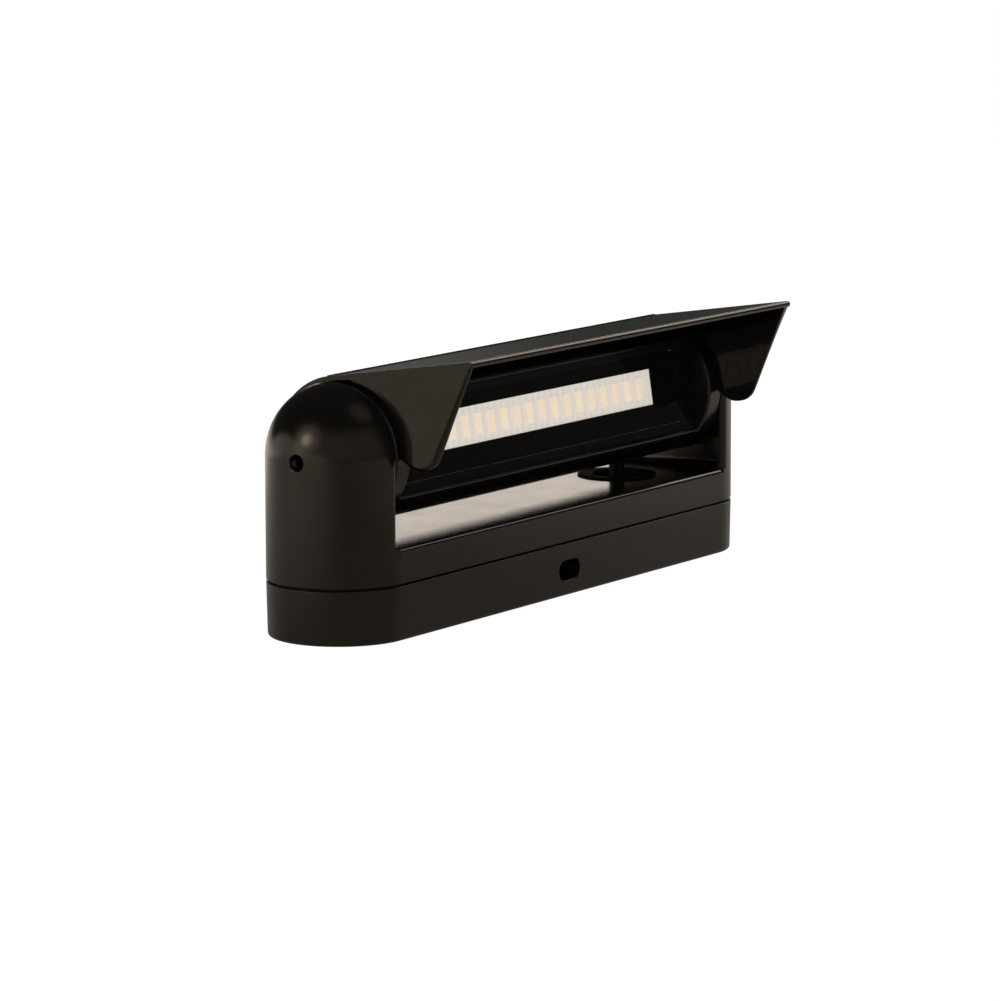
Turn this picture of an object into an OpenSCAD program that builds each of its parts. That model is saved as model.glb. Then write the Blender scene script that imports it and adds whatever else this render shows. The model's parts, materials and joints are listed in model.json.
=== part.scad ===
// Linear path light: a stadium base tray, a yoke with two domed posts, and a
// round-backed LED head under a visor that tilts between the posts.
// Millimetres, Z up, the light shines towards -Y. The origin is the middle of
// the face that the light stands on.

/* [Footprint] */
// Length over the two round ends
body_length = 200; // [190:1:230]
// Width, which is also twice the radius of the round ends
body_width = 38.9; // [38:0.1:44]
// Wall of the two castings
wall = 2.6; // [2.2:0.1:3.2]

/* [Base tray] */
// Height of the tray up to the seam
base_height = 14.45; // [13.5:0.05:18]
// Thickness of the tray's floor
base_floor = 2.8; // [2.4:0.1:3.4]
// How far the tray's wall leans in towards the bottom
base_draft = 0.27; // [0.1:0.01:0.5]
// Round on the tray's bottom edge
base_round = 0.9; // [0.5:0.1:1.4]
// Seam between the tray and the yoke, where the seal shows
seam_gap = 0.6; // [0.4:0.1:1]
// Height of the lip that centres the yoke on the tray
spigot_height = 2.4; // [1.5:0.1:3.5]

/* [Cable entry] */
// Width of the slot for the flat supply cable
slot_width = 10.5; // [9:0.1:13]
// Height of the slot for the flat supply cable
slot_height = 5.5; // [5:0.1:6]
// Height of the slot's middle above the ground
slot_z = 7.05; // [6.6:0.05:8]

/* [Yoke] */
// Height of the yoke's floor, between the posts
floor_height = 24.35; // [22.5:0.05:25]
// Clear height between the floor and the head's round back
head_gap = 4.35; // [3.6:0.05:6]
// Thickness of a post, from the light's end to the post's flat face
post_depth = 18; // [16:0.5:20]
// Round on the vertical and domed edges of a post
post_round = 1.6; // [1:0.1:2.2]
// Round on the long edges of the floor
floor_round = 1.2; // [0.6:0.1:1.8]
// Fillet where the floor meets a post
floor_fillet = 2.4; // [1.5:0.1:3]
// Diameter of the hex key's hole in the end of each post
key_hole_d = 4; // [3.5:0.1:5]

/* [Tilt joint] */
// Diameter of the shoulder that turns in the bush
shoulder_d = 6; // [5:0.1:7]
// Gap all round the shoulder
pivot_clearance = 0.05; // [0.02:0.01:0.08]
// Wall of the bush
bush_wall = 1.5; // [1.2:0.1:2]
// Thickness of the washer between a post and an end cap
tilt_washer = 0.5; // [0.4:0.1:1]
// Tilt of the head as shown, front upwards
head_tilt = 8.5; // [0:0.5:20]

/* [Head] */
// Radius of the head's round back and of its end caps
head_r = 18.7; // [18:0.1:18.9]
// Thickness of an end cap
cap_thickness = 6.5; // [6:0.1:8]
// Distance from the tilt axis to the head's flat front
lip_front = 12.9; // [12.7:0.1:13.1]
// Wall of the head's housing
head_wall = 2.4; // [2:0.1:2.8]
// Thickness of the seal under an end cap
cap_seal = 0.5; // [0.4:0.1:0.8]

/* [Glass and light source] */
// Distance from the tilt axis to the front of the glass
glass_front = 12.4; // [12.1:0.1:12.6]
// Thickness of the glass
glass_thickness = 3; // [2.6:0.1:3.2]
// Rim of the housing that shows above and below the glass
glass_rim = 0.8; // [0.6:0.1:2]
// Width of the lit window past the last package on each side
window_margin = 5.6; // [0.2:0.1:6]
// Height of the lit window
window_height = 10.2; // [8:0.1:12]
// Number of light-emitting packages
led_count = 18; // [14:1:20]
// Distance between the packages
led_pitch = 6.3; // [5.8:0.05:6.4]

/* [Visor] */
// Sheet thickness of the visor
visor_thickness = 1.7; // [1.4:0.1:2.2]
// Distance from the tilt axis to the visor's front edge
visor_reach = 45; // [40:0.5:50]
// Thickness of the visor's cheeks
cheek_thickness = 2; // [1.6:0.1:2.4]
// Lean of the cheeks' front edge from square to the visor
cheek_lean = 31; // [24:0.2:34]
// Depth of the cheeks below the tilt axis
cheek_drop = 6.4; // [4:0.1:8]
// How far the visor wraps round the back, from the front
visor_wrap = 192; // [170:1:205]

/* [Lead] */
// Diameter of the lead between the base and the head
lead_d = 4.4; // [3.6:0.1:5]
// Distance of the lead from the right post's flat face
lead_inset = 25.4; // [24:0.1:32]
// Distance of the lead behind the tilt axis
lead_y = 1; // [0:0.1:1.5]
// Diameter of the grommet's flange on the floor
grommet_d = 22.4; // [20:0.1:23]
// Height of the grommet's flange above the floor
grommet_rise = 0.5; // [0.3:0.1:1]

/* [Hidden] */
$fn = 96;
small_fn = 32;
cut = 0.5;

bronze = "#2e2a26";
rubber_black = "#151515";
steel = "#9a9a98";
nylon = "#d8d4c8";

end_r = body_width / 2;
end_x = body_length / 2 - end_r;
inner_r = end_r - wall;
yoke_bottom = base_height + seam_gap;
deck_underside = floor_height - wall;
pivot_height = floor_height + head_gap + head_r;
post_face = body_length / 2 - post_depth;
lead_x = post_face - lead_inset;
post_ledge = 0.6;
fillet_bite = 0.4;
edge_step = 0.02;
mouth_chamfer = 1.2;

spigot_clearance = 0.15;
spigot_wall = 1.4;
spigot_r = inner_r - spigot_clearance;
seal_inset = 0.8;

base_screw_d = 4;
base_screw_x = end_x - 11;
base_screw_y = 10.6;
pillar_r = 4.2;
thread_gap = 0.05;
screw_clearance = 0.25;
base_screw_bite = 4;
pilot_depth = 5.5;
hex_depth = 1.2;
countersink_d = 8.4;
screw_head_d = 7.8;
screw_head_height = 2.2;

keyhole_x = 40;
keyhole_head_d = 9;
keyhole_shank_d = 4.6;
keyhole_travel = 8;

block_length = 24;
block_width = 11;
block_height = 12;
block_y = 7.4;
block_gap = 0.15;
peg_d = 2.6;
peg_height = 3;
peg_spread = 17;
terminal_pitch = 10;
wire_rise = 0.6;
wire_way_d = 3;
terminal_screw_d = 3.4;
terminal_sink = 0.8;
slot_cut = 0.6;

clamp_length = 21;
clamp_width = 5;
clamp_height = 3;
clamp_y = -7.2;
clamp_boss_r = 2.8;
clamp_boss_spread = 15;
clamp_boss_height = 5.2;
clamp_screw_d = 2.5;
clamp_head_d = 4.8;
clamp_head_height = 1.8;
clamp_screw_bite = 4;
slot_depth = 0.7;

cap_inner = post_face - tilt_washer - cap_thickness;
housing_half = cap_inner - cap_seal;
bush_od = shoulder_d + 2 * pivot_clearance + 2 * bush_wall;
bush_flange_d = bush_od + 4;
bush_flange = 1.2;
boss_r = bush_od / 2 + 2.6;
boss_depth = 3.4;
bush_length = wall + boss_depth;
washer_od = 15;
pivot_head_d = 9.6;
pivot_head_height = 4;
pivot_thread_d = 4.2;
pivot_thread_length = 5.4;
spring_washer_height = 0.9;
hex_flats = 3;
pivot_hex_depth = 2.2;

seat_depth = 0.5;
glass_back = glass_front - glass_thickness;
glass_gap = 0.15;
pocket_back = glass_back - seat_depth;
pocket_high = sqrt(pow(head_r, 2) - pow(lip_front, 2)) - glass_rim;
pocket_low = -pocket_high;
seal_width = 2.4;
trough_low = pocket_low + seal_width;
trough_high = pocket_high - seal_width;
mask_thickness = 1;
board_thickness = 1.6;
pad_thickness = 0.5;
groove_depth = 1.1;
slide_gap = 0.1;
mask_front = pocket_back + 0.2;
mask_back = mask_front - mask_thickness;
board_front = mask_back;
board_back = board_front - board_thickness;
web_front = board_back - pad_thickness;
web_thickness = 3;
web_back = web_front - web_thickness;
chamber_r = head_r - head_wall;
port_r = 2.9;
port_hole_d = 2.9;
port_angles = [104, 180, 222];
port_place_r = head_r - port_r - 0.6;
cap_screw_d = 2.8;
cap_screw_length = 9;
cap_chamfer = 0.5;
cap_plug = 2;
plug_gap = 0.15;
cap_screw_head_d = 5.6;
cap_screw_head_height = 2.4;
cap_screw_sink = 2.9;
cap_hex_flats = 2;
cap_hex_depth = 1.2;
cap_tap_spare = 0.4;
seal_step = 0.3;
led_size = [3, 5.7, 0.7];
window_width = (led_count - 1) * led_pitch + led_size[0] + 2 * window_margin;
window_rise = 1.2;

driver_left = 13.5 - housing_half;
driver_right = lead_x - 10;
driver_length = driver_right - driver_left;
driver_x = (driver_right + driver_left) / 2;
driver_thickness = 1.6;
driver_stand = 7;
driver_half = 10.6;
rail_wall = 1.4;
rail_grip = 0.8;
part_height = 5.8;
capacitor_d = 8;
capacitor_x = [-37, -25, -13];
choke_x = 25;
choke_d = 13;
choke_hole_d = 5;
chip_x = [-21, 15, 37];
chip_size = [10, 8, 1.6];

visor_gap = 0.1;
visor_inner = head_r + visor_gap;
visor_outer = visor_inner + visor_thickness;
visor_side_gap = 1;
visor_half = post_face - visor_side_gap;
tip_round = 5.5;
tip_flat = 1;
cheek_rise = 40;
cheek_setback = 0.4;
visor_screw_angle = 150;
visor_screw_spread = visor_half - 25;
visor_screw_d = 3;
visor_screw_length = 6;
visor_head_d = 5.6;
visor_boss_r = 3.2;
visor_boss_depth = 6.5;
visor_boss_floor = 1;
visor_seat_depth = 1;
visor_head_rise = 0.4;

gland_d = 9;
gland_flange_d = 10.6;
gland_flange = 1.2;
grommet_hole_d = 17;
grommet_opening_d = 13.5;
grommet_flange = 1;
lead_gap = 0.05;
lead_sides = 10;
lead_tail = 13.2;
lead_bend = 9;
lead_z = base_floor + block_height / 2 + wire_rise;
lead_run = 14;

// Moves what follows from the tilt axis's own frame, where -Y is forwards, to its place
module on_head() {
    translate([0, 0, pivot_height])
        rotate([-head_tilt, 0, 0])
            children();
}

// Runs a profile drawn in the head's side view, forwards and up, along the light
module along_x(half_length) {
    rotate([90, 0, -90])
        translate([0, 0, -half_length])
            linear_extrude(2 * half_length)
                children();
}

// Sweeps a half profile, drawn outwards and up, round the stadium footprint
module round_footprint() {
    for (side = [-1, 1])
        translate([side * end_x, 0, 0])
            rotate([0, 0, -side * 90])
                rotate_extrude(angle = 180)
                    children();
    for (side = [0, 1])
        mirror([0, side, 0])
            rotate([90, 0, 90])
                translate([0, 0, -end_x])
                    linear_extrude(2 * end_x)
                        children();
}

// Points along an arc
function arc(centre, r, from, to, steps = 8) =
    [for (i = [0 : steps]) let (a = from + (to - from) * i / steps)
        centre + r * [cos(a), sin(a)]];

// Four places, one in each quarter
module at_corners(x, y) {
    for (sx = [-1, 1], sy = [-1, 1])
        translate([sx * x, sy * y, 0])
            children();
}

// A cylinder along X whose low end lies at x
module rod_x(x, d, length) {
    translate([x, 0, 0])
        rotate([0, 90, 0])
            cylinder(d = d, h = length);
}

// Base tray

module tray_profile() {
    foot = base_round;
    foot_r = end_r - base_draft;
    polygon(concat(
        [[0, 0]],
        arc([foot_r - foot, foot], foot, -90, 0, 6),
        [[end_r, base_height], [spigot_r, base_height],
         [spigot_r, base_height + spigot_height],
         [spigot_r - spigot_wall, base_height + spigot_height],
         [spigot_r - spigot_wall, base_floor], [0, base_floor]]));
}

module slot_cutter() {
    half = (slot_width - slot_height) / 2;
    for (x = [-half, half])
        translate([x, -end_r - cut, slot_z])
            rotate([-90, 0, 0])
                cylinder(d = slot_height, h = 3 * wall + cut, $fn = small_fn);
    translate([-half, -end_r - cut, slot_z - slot_height / 2])
        cube([2 * half, 3 * wall + cut, slot_height]);
}

module keyhole_cutter() {
    translate([0, 0, -cut]) {
        cylinder(d = keyhole_head_d, h = base_floor + 2 * cut, $fn = small_fn);
        translate([keyhole_travel, 0, 0])
            cylinder(d = keyhole_shank_d, h = base_floor + 2 * cut, $fn = small_fn);
        translate([0, -keyhole_shank_d / 2, 0])
            cube([keyhole_travel, keyhole_shank_d, base_floor + 2 * cut]);
    }
}

module base_tray() {
    color(bronze) difference() {
        union() {
            round_footprint()
                tray_profile();
            at_corners(base_screw_x, base_screw_y)
                cylinder(r = pillar_r, h = yoke_bottom, $fn = small_fn);
            for (side = [-1, 1]) {
                translate([side * peg_spread / 2, block_y, base_floor - cut])
                    cylinder(d = peg_d, h = peg_height + cut, $fn = small_fn);
                translate([side * clamp_boss_spread / 2, clamp_y, base_floor - cut])
                    cylinder(r = clamp_boss_r, h = clamp_boss_height + cut, $fn = small_fn);
            }
        }
        slot_cutter();
        at_corners(base_screw_x, base_screw_y) {
            translate([0, 0, -cut])
                cylinder(d = base_screw_d + 2 * screw_clearance,
                    h = yoke_bottom + 2 * cut, $fn = small_fn);
            translate([0, 0, -cut])
                cylinder(d = countersink_d, h = screw_head_height + screw_clearance + cut,
                    $fn = small_fn);
        }
        for (side = [-1, 1]) {
            translate([side * keyhole_x, 0, 0])
                keyhole_cutter();
            translate([side * clamp_boss_spread / 2, clamp_y, base_floor])
                cylinder(d = clamp_screw_d + 2 * thread_gap, h = clamp_boss_height + cut,
                    $fn = small_fn);
        }
    }
}

module base_seal() {
    color(rubber_black) round_footprint()
        translate([spigot_r + spigot_clearance, base_height])
            square([end_r - seal_inset - spigot_r - spigot_clearance, seam_gap]);
}

// A screw that points up: pan or flat head below, shank above
module screw_up(d, length, head_d, head_height) {
    cylinder(d = head_d, h = head_height, $fn = small_fn);
    translate([0, 0, head_height])
        cylinder(d = d, h = length, $fn = small_fn);
}

module base_screws() {
    color(steel) at_corners(base_screw_x, base_screw_y)
        difference() {
            translate([0, 0, screw_clearance])
                screw_up(base_screw_d, yoke_bottom + base_screw_bite - screw_head_height,
                    screw_head_d, screw_head_height);
            translate([0, 0, screw_clearance - cut])
                cylinder(d = hex_flats / cos(30), h = hex_depth + cut, $fn = 6);
        }
}

module cable_clamp() {
    low = base_floor + clamp_boss_height;
    color(nylon) difference() {
        translate([-clamp_length / 2, clamp_y - clamp_width / 2, low])
            cube([clamp_length, clamp_width, clamp_height]);
        for (side = [-1, 1])
            translate([side * clamp_boss_spread / 2, clamp_y, low - cut])
                cylinder(d = clamp_screw_d + 2 * screw_clearance,
                    h = clamp_height + 2 * cut, $fn = small_fn);
    }
}

module cable_clamp_screws() {
    top = base_floor + clamp_boss_height + clamp_height;
    color(steel) for (side = [-1, 1])
        translate([side * clamp_boss_spread / 2, clamp_y, top + clamp_head_height])
            mirror([0, 0, 1])
                difference() {
                    screw_up(clamp_screw_d, clamp_height + clamp_screw_bite, clamp_head_d,
                        clamp_head_height);
                    translate([-clamp_head_d, -slot_cut / 2, -cut])
                        cube([2 * clamp_head_d, slot_cut, slot_depth + cut]);
                }
}

module terminal_block() {
    color(nylon) difference() {
        translate([-block_length / 2, block_y - block_width / 2, base_floor])
            cube([block_length, block_width, block_height]);
        for (side = [-1, 1]) {
            translate([side * peg_spread / 2, block_y, base_floor - cut])
                cylinder(d = peg_d + 2 * block_gap, h = peg_height + block_gap + cut,
                    $fn = small_fn);
            translate([0, block_y + side * terminal_pitch / 4, 0])
                terminal_cutter();
        }
    }
}

// One pole: two screw wells from above and the wire way through the block
module terminal_cutter() {
    middle = base_floor + block_height / 2;
    translate([-block_length / 2 - cut, 0, middle + wire_rise])
        rotate([0, 90, 0])
            cylinder(d = wire_way_d, h = block_length + 2 * cut, $fn = small_fn);
    for (side = [-1, 1])
        translate([side * block_length / 4, 0, middle])
            cylinder(d = terminal_screw_d + 2 * thread_gap, h = block_height, $fn = small_fn);
}

module terminal_screws() {
    middle = base_floor + block_height / 2;
    color(steel) for (pole = [-1, 1], side = [-1, 1])
        translate([side * block_length / 4, block_y + pole * terminal_pitch / 4, middle])
            difference() {
                cylinder(d = terminal_screw_d, h = block_height / 2 - terminal_sink,
                    $fn = small_fn);
                translate([-terminal_screw_d, -slot_cut / 2,
                    block_height / 2 - terminal_sink - slot_depth])
                    cube([2 * terminal_screw_d, slot_cut, slot_depth + cut]);
            }
}

// Yoke

// Plan of a post: a round end cut by its flat face, the two corners rounded
module post_plan(r, face, round) {
    corner_x = face + round;
    corner_y = sqrt(pow(r - round, 2) - pow(corner_x - end_x, 2));
    touch_x = end_x + (corner_x - end_x) * r / (r - round);
    touch_y = corner_y * r / (r - round);
    intersection() {
        translate([end_x, 0])
            circle(r);
        translate([touch_x, -r])
            square([2 * r, 2 * r]);
    }
    for (side = [-1, 1])
        intersection() {
            translate([corner_x, side * corner_y])
                circle(round);
            polygon([[corner_x, side * corner_y], [face - cut, side * corner_y],
                [face - cut, side * r], [touch_x, side * (r + cut)], [touch_x, side * touch_y]]);
        }
    polygon([[face, -corner_y], [corner_x, -corner_y], [touch_x, -touch_y],
        [touch_x, touch_y], [corner_x, corner_y], [face, corner_y]]);
}

// A post from a height up to its dome, which is the same plan turned about the tilt axis
module post(r, face, round, low) {
    translate([0, 0, low])
        linear_extrude(pivot_height - low)
            post_plan(r, face, round);
    translate([0, 0, pivot_height])
        rotate([0, 90, 0])
            rotate([0, 0, 90])
                rotate_extrude(angle = 180)
                    intersection() {
                        mirror([1, -1])
                            post_plan(r, face, round);
                        square([2 * r, body_length]);
                    }
}

// Plan of the hollow inside a post
module hollow_plan(r) {
    intersection() {
        translate([end_x, 0])
            circle(r);
        translate([post_face + wall, -inner_r])
            square([2 * inner_r, 2 * inner_r]);
    }
}

// A post above the floor, hollow up to its dome
module post_shell() {
    difference() {
        post(end_r, post_face, post_round, floor_height);
        translate([0, 0, floor_height - cut])
            linear_extrude(pivot_height - floor_height + cut)
                hollow_plan(inner_r);
        intersection() {
            translate([end_x, 0, pivot_height])
                sphere(inner_r);
            translate([post_face + wall, -inner_r, pivot_height])
                cube([inner_r, 2 * inner_r, inner_r]);
        }
    }
}

module deck_profile(reach) {
    r = floor_round;
    polygon(concat(
        [[0, yoke_bottom], [reach, yoke_bottom]],
        arc([reach - r, floor_height - r], r, 0, 90, 6),
        [[0, floor_height]]));
}

// The floor from one x to another, with its two long edges rounded
module deck_run(from, to, reach) {
    for (side = [0, 1])
        mirror([0, side, 0])
            rotate([90, 0, 90])
                translate([0, 0, from])
                    linear_extrude(to - from)
                        deck_profile(reach);
}

// The round end past an x, up to a height
module deck_end(from, high) {
    translate([0, 0, yoke_bottom])
        linear_extrude(high - yoke_bottom)
            intersection() {
                translate([end_x, 0])
                    circle(end_r);
                translate([from, -end_r])
                    square([end_r, 2 * end_r]);
            }
}

module deck() {
    narrow = sqrt(pow(end_r, 2) - pow(post_face - end_x, 2)) - edge_step;
    deck_run(-end_x, end_x, end_r);
    for (side = [0, 1])
        mirror([side, 0, 0]) {
            deck_run(end_x, post_face, narrow);
            deck_end(end_x, floor_height - floor_round);
            deck_end(post_face, floor_height);
            post_fillet();
        }
}

module post_fillet() {
    r = floor_fillet;
    half = end_r - floor_round - post_ledge;
    translate([post_face, -half, floor_height])
        rotate([-90, 0, 0])
            linear_extrude(2 * half)
                polygon(concat([[fillet_bite, fillet_bite], [fillet_bite, -r]],
                    arc([-r, -r], r, 0, 90, 6), [[-r, fillet_bite]]));
}

// The floor between and under the posts, hollow from below
module deck_shell() {
    difference() {
        deck();
        translate([0, 0, yoke_bottom - cut])
            linear_extrude(deck_underside - yoke_bottom + cut) {
                square([2 * end_x, 2 * inner_r], center = true);
                for (side = [-1, 1])
                    translate([side * end_x, 0])
                        circle(inner_r);
            }
        for (side = [0, 1])
            mirror([side, 0, 0])
                translate([0, 0, deck_underside - cut])
                    linear_extrude(wall + 2 * cut)
                        hollow_plan(inner_r - post_ledge);
    }
}

// The boss inside a post that carries the bush
module pivot_boss() {
    translate([0, 0, pivot_height])
        rod_x(post_face + wall / 2, 2 * boss_r, boss_depth + wall / 2);
}

// The bush's bore, and the hex key's way in through the end of the post
module pivot_bores() {
    translate([0, 0, pivot_height]) {
        rod_x(post_face - cut, bush_od, bush_length + 2 * cut);
        rod_x(end_x + end_r - 2 * wall, key_hole_d, 2 * wall + cut);
        translate([end_x + end_r - mouth_chamfer / 2, 0, 0])
            rotate([0, 90, 0])
                cylinder(r1 = key_hole_d / 2 - 0.1, r2 = key_hole_d / 2 - 0.1 + mouth_chamfer,
                    h = mouth_chamfer);
    }
}

module yoke() {
    color(bronze) difference() {
        union() {
            deck_shell();
            for (side = [0, 1])
                mirror([side, 0, 0]) {
                    post_shell();
                    pivot_boss();
                }
            at_corners(base_screw_x, base_screw_y)
                translate([0, 0, yoke_bottom])
                    cylinder(r = pillar_r, h = deck_underside - yoke_bottom + cut,
                        $fn = small_fn);
        }
        for (side = [0, 1])
            mirror([side, 0, 0])
                pivot_bores();
        at_corners(base_screw_x, base_screw_y)
            translate([0, 0, yoke_bottom - cut])
                cylinder(d = base_screw_d + 2 * thread_gap, h = pilot_depth + cut,
                    $fn = small_fn);
        translate([lead_x, lead_y, deck_underside - cut])
            cylinder(d = grommet_hole_d, h = wall + 2 * cut);
    }
}

// A grommet with a flange above and below the floor and an opening the lead can swing in
module lead_grommet() {
    flange_r = grommet_d / 2;
    neck_r = grommet_hole_d / 2;
    open_r = grommet_opening_d / 2;
    top = grommet_rise / 2;
    foot = grommet_flange / 2;
    low = deck_underside;
    high = floor_height;
    color(rubber_black) translate([lead_x, lead_y, 0])
        rotate_extrude()
            polygon(concat(
                arc([open_r + top, high + top], top, 180, 90, 4),
                arc([flange_r - top, high + top], top, 90, -90, 6),
                [[neck_r, high], [neck_r, low]],
                arc([flange_r - foot, low - foot], foot, 90, -90, 6),
                arc([open_r + foot, low - foot], foot, 270, 180, 4)));
}

// The lead: down from the head, round a bend and along the tray to the terminals

function lead_route() = concat(
    [for (z = [pivot_height - lead_tail, pivot_height - head_r - 0.5, floor_height])
        [lead_x, lead_y, z]],
    [for (a = [0 : 15 : 90])
        [lead_x - lead_bend * (1 - cos(a)), lead_y, lead_z + lead_bend * (1 - sin(a))]],
    [for (t = [1 : 6]) let (x0 = lead_x - lead_bend, x1 = lead_run + 3)
        [x0 + (x1 - x0) * t / 6, lead_y + (block_y - lead_y) * (1 - cos(30 * t)) / 2, lead_z]],
    [[block_length / 2, block_y, lead_z]]);

function unit(v) = v / norm(v);

// A closed tube through the points, whose ends stand square to it
module tube(points, d, sides) {
    last = len(points) - 1;
    rings = [for (i = [0 : last])
        let (t = i == 0 ? [0, 0, -1] : i == last ? [-1, 0, 0]
                : unit(unit(points[i + 1] - points[i]) + unit(points[i] - points[i - 1])),
            u = unit(cross(t, [0, 1, 0])),
            v = cross(t, u))
        for (k = [0 : sides - 1])
            points[i] + d / 2 * (cos(360 * k / sides) * u + sin(360 * k / sides) * v)];
    polyhedron(rings, concat(
        [[for (k = [sides - 1 : -1 : 0]) k]],
        [for (i = [0 : last - 1], k = [0 : sides - 1]) let (n = (k + 1) % sides)
            [i * sides + k, i * sides + n, (i + 1) * sides + n, (i + 1) * sides + k]],
        [[for (k = [0 : sides - 1]) last * sides + k]]));
}

module head_lead() {
    color(rubber_black)
        tube(lead_route(), lead_d, lead_sides);
}

// Tilt joint, drawn for the right side; the left side is its mirror image

module pivot_bush() {
    color(nylon) translate([0, 0, pivot_height])
        difference() {
            union() {
                rod_x(post_face, bush_od, bush_length);
                rod_x(post_face + bush_length, bush_flange_d, bush_flange);
            }
            rod_x(post_face - cut, shoulder_d + 2 * pivot_clearance,
                bush_length + bush_flange + 2 * cut);
        }
}

module tilt_washer_ring() {
    color(nylon) translate([0, 0, pivot_height])
        difference() {
            rod_x(post_face - tilt_washer, washer_od, tilt_washer);
            rod_x(post_face - tilt_washer - cut, shoulder_d + 2 * pivot_clearance,
                tilt_washer + 2 * cut);
        }
}

spring_washer_x = post_face + bush_length + bush_flange;

module spring_washer() {
    color(steel) translate([0, 0, pivot_height])
        difference() {
            rod_x(spring_washer_x, bush_flange_d - 1, spring_washer_height);
            rod_x(spring_washer_x - cut, shoulder_d + 2 * pivot_clearance,
                spring_washer_height + 2 * cut);
        }
}

module pivot_screw() {
    seat = post_face - tilt_washer;
    head = spring_washer_x + spring_washer_height;
    color(steel) translate([0, 0, pivot_height])
        difference() {
            union() {
                rod_x(seat - pivot_thread_length, pivot_thread_d, pivot_thread_length + cut);
                rod_x(seat, shoulder_d, head - seat);
                rod_x(head, pivot_head_d, pivot_head_height);
            }
            translate([head + pivot_head_height - pivot_hex_depth, 0, 0])
                rotate([0, 90, 0])
                    cylinder(d = hex_flats / cos(30), h = pivot_hex_depth + cut, $fn = 6);
        }
}

module left() {
    mirror([1, 0, 0])
        children();
}

module pivot_bush_right() { pivot_bush(); }
module pivot_bush_left() { left() pivot_bush(); }
module tilt_washer_right() { tilt_washer_ring(); }
module tilt_washer_left() { left() tilt_washer_ring(); }
module spring_washer_right() { spring_washer(); }
module spring_washer_left() { left() spring_washer(); }
module pivot_screw_right() { pivot_screw(); }
module pivot_screw_left() { left() pivot_screw(); }

// Head. Its side views are drawn forwards and up from the tilt axis.

module front_cut(front) {
    translate([-2 * head_r, -2 * head_r])
        square([2 * head_r + front, 4 * head_r]);
}

module band(from, to, low, high) {
    translate([from, low])
        square([to - from, high - low]);
}

module at_port() {
    for (a = port_angles)
        rotate(a)
            translate([port_place_r, 0])
                children();
}

// The driver's chamber behind the web, between the screw ports
module chamber_plan(gap) {
    difference() {
        intersection() {
            circle(chamber_r - gap);
            front_cut(web_back - gap);
        }
        at_port()
            circle(port_r + gap, $fn = small_fn);
    }
}

// Card rails on the back of the web that hold the driver board by its edges
module rail_plan() {
    board = web_back - driver_stand;
    for (side = [0, 1])
        mirror([0, side])
            difference() {
                band(board - driver_thickness - rail_wall, web_back + cut,
                    driver_half - rail_grip, driver_half + rail_wall);
                band(board - driver_thickness, board, 0, driver_half);
            }
}

module housing_plan() {
    difference() {
        intersection() {
            circle(head_r);
            front_cut(lip_front);
        }
        band(pocket_back, 2 * lip_front, pocket_low, pocket_high);
        band(web_front, pocket_back + cut, trough_low, trough_high);
        band(board_back, board_front, trough_low - groove_depth, trough_high + groove_depth);
        chamber_plan(0);
        at_port()
            circle(d = port_hole_d, $fn = small_fn);
    }
    rail_plan();
}

// A cylinder that points inwards from the head's round back
module back_rod(angle, x, from_r, to_r, d1, d2) {
    translate([x, 0, 0])
        rotate([90 - angle, 0, 0])
            translate([0, 0, to_r])
                cylinder(d1 = d2, d2 = d1, h = from_r - to_r, $fn = small_fn);
}

module at_visor_screws() {
    for (side = [-1, 0, 1])
        translate([side * visor_screw_spread, 0, 0])
            children();
}

module head_housing() {
    color(bronze) difference() {
        on_head() difference() {
            union() {
                along_x(housing_half)
                    housing_plan();
                at_visor_screws()
                    back_rod(visor_screw_angle, 0, chamber_r + head_wall / 2,
                        head_r - visor_boss_depth, 2 * visor_boss_r, 2 * visor_boss_r);
            }
            at_visor_screws()
                back_rod(visor_screw_angle, 0, head_r + cut, head_r - visor_boss_depth + visor_boss_floor,
                    visor_screw_d + 2 * thread_gap, visor_screw_d + 2 * thread_gap);
        }
        translate([lead_x, lead_y, pivot_height - head_r - cut])
            cylinder(d = gland_d, h = 2 * head_wall + cut, $fn = small_fn);
    }
}

// The rubber bush that holds the lead where it leaves the head's belly
module lead_gland() {
    low = -sqrt(pow(head_r, 2) - pow(lead_y + gland_d / 2, 2));
    inside = -sqrt(pow(chamber_r, 2) - pow(lead_y + gland_flange_d / 2, 2));
    color(rubber_black) translate([lead_x, lead_y, pivot_height])
        difference() {
            union() {
                translate([0, 0, low])
                    cylinder(d = gland_d, h = inside - low + gland_flange, $fn = small_fn);
                translate([0, 0, inside])
                    cylinder(d = gland_flange_d, h = gland_flange, $fn = small_fn);
            }
            translate([0, 0, low - cut])
                cylinder(d = lead_d + 2 * lead_gap, h = inside - low + gland_flange + 2 * cut,
                    $fn = small_fn);
        }
}

module end_cap() {
    c = cap_chamfer;
    color(bronze) on_head() difference() {
        union() {
            translate([cap_inner, 0, 0])
                rotate([0, 90, 0])
                    rotate_extrude()
                        polygon([[0, 0], [head_r - c, 0], [head_r, c],
                            [head_r, cap_thickness - c], [head_r - c, cap_thickness],
                            [0, cap_thickness]]);
            translate([cap_inner - cap_seal - cap_plug / 2, 0, 0])
                along_x(cap_plug / 2 + cap_seal)
                    chamber_plug();
        }
        at_port_x(cap_inner - cap_plug - cap_seal - cut)
            cylinder(d = cap_screw_d + 2 * screw_clearance,
                h = cap_thickness + cap_plug + cap_seal + 2 * cut, $fn = small_fn);
        at_port_x(cap_inner + cap_thickness - cap_screw_sink)
            cylinder(d = cap_screw_head_d + 2 * screw_clearance, h = cap_screw_sink + cut,
                $fn = small_fn);
        rod_x(cap_inner + cap_thickness - pivot_thread_length - cap_tap_spare,
            pivot_thread_d + 2 * thread_gap, pivot_thread_length + cap_tap_spare + cut);
    }
}

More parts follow.
